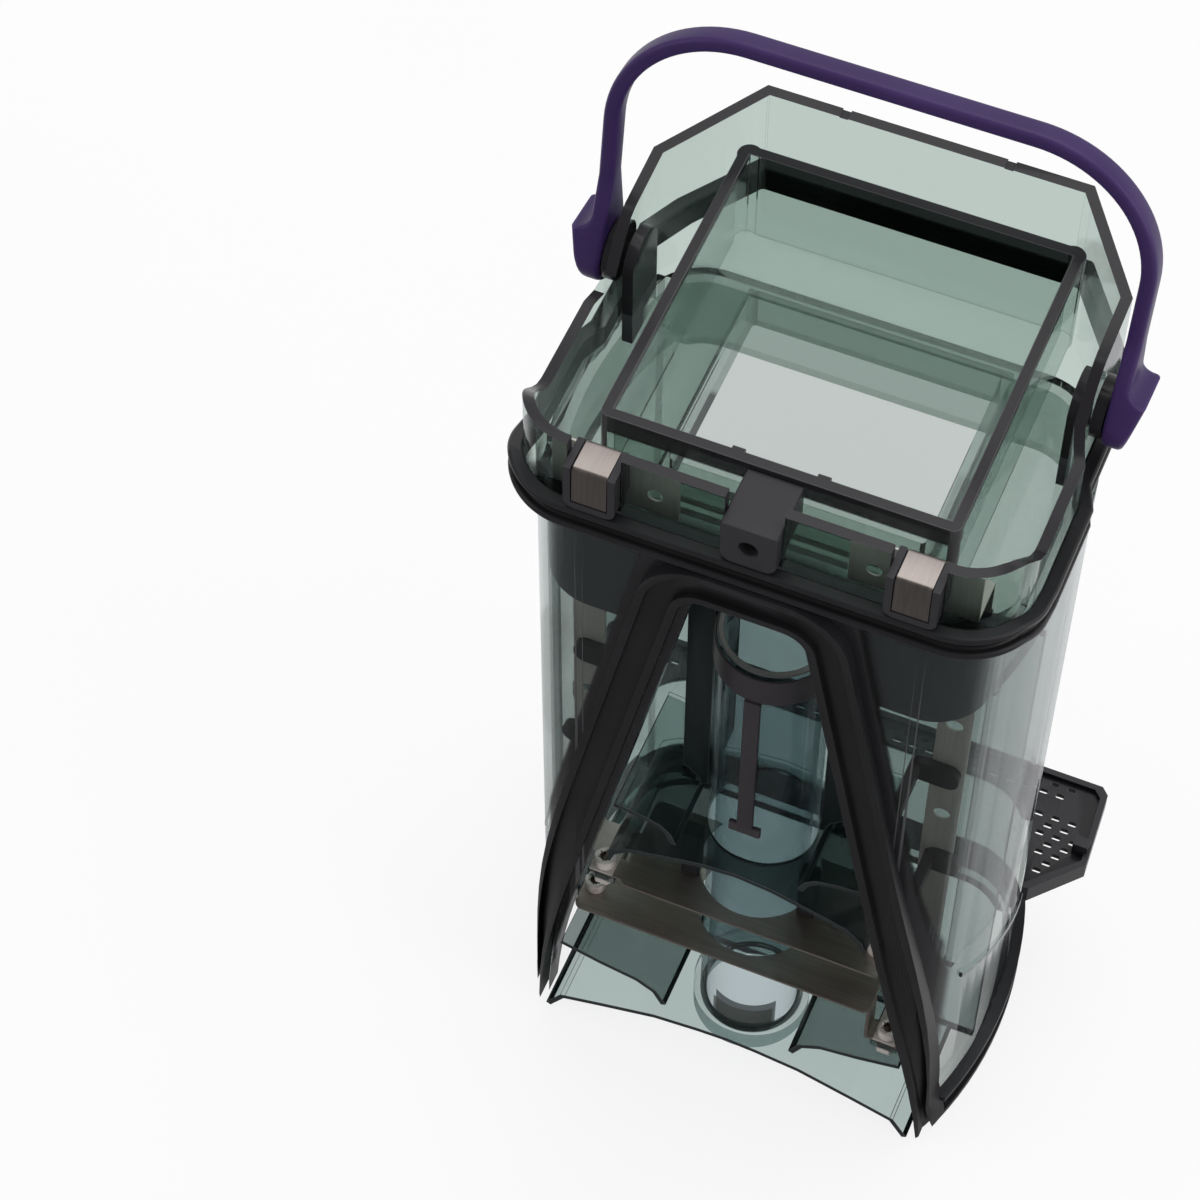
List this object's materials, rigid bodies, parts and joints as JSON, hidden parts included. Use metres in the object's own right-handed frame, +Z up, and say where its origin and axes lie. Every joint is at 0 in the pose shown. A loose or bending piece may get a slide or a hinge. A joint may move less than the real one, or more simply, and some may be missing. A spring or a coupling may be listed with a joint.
{
  "type": "dirty water tank separator",
  "caption": "Clear tank separator with a sealed arched opening, baffles and electrode plates round an inlet tube, a collar with a filter seat, a strainer tray and a bail handle.",
  "frame": {"origin": "on the surface it stands on, at the middle of its outline seen from above", "axes": "+Z up, -Y towards the arched front, +X to the right seen from the front"},
  "size_m": [0.143, 0.1098, 0.3092],
  "materials": {
    "smoke_clear": "clear smoke-tinted plastic, polished",
    "pale_clear": "clear plastic with a light smoke tint, polished",
    "dark_plastic": "dark smoke plastic, nearly black where thick",
    "black_rubber": "smooth moulded rubber",
    "black_plastic": "fine-textured moulded plastic",
    "purple_plastic": "satin moulded plastic",
    "electrode_steel": "satin stainless sheet",
    "contact_steel": "satin stainless spring sheet",
    "fastener_steel": "bright stainless"
  },
  "bodies": {
    "separator": {"lower_housing": "smoke_clear", "baffle_core": "smoke_clear", "inlet_tube": "pale_clear", "tube_ring": "dark_plastic", "level_rib": "dark_plastic", "upper_electrode": "electrode_steel", "lower_electrode": "electrode_steel", "left_pad": "black_rubber", "right_pad": "black_rubber", "electrode_screws": "fastener_steel", "electrode_nuts": "fastener_steel", "left_contact_strip": "contact_steel", "right_contact_strip": "contact_steel", "upper_left_clip": "dark_plastic", "upper_right_clip": "dark_plastic", "lower_left_clip": "dark_plastic", "lower_right_clip": "dark_plastic", "collar_housing": "smoke_clear", "filter_seat": "smoke_clear", "main_seal": "black_rubber", "arch_seal": "black_rubber", "latch_block": "dark_plastic", "left_contact_housing": "dark_plastic", "right_contact_housing": "dark_plastic", "left_contact_spring": "contact_steel", "right_contact_spring": "contact_steel", "strainer_tray": "black_plastic"},
    "handle": {"handle": "purple_plastic"}
  },
  "joints": [
    {"name": "handle_hinge", "type": "hinge", "parent": "separator", "child": "handle", "pos_m": [0, 0.01025, 0.243], "axis": [1, 0, 0], "range_deg": [-80, 84]}
  ]
}
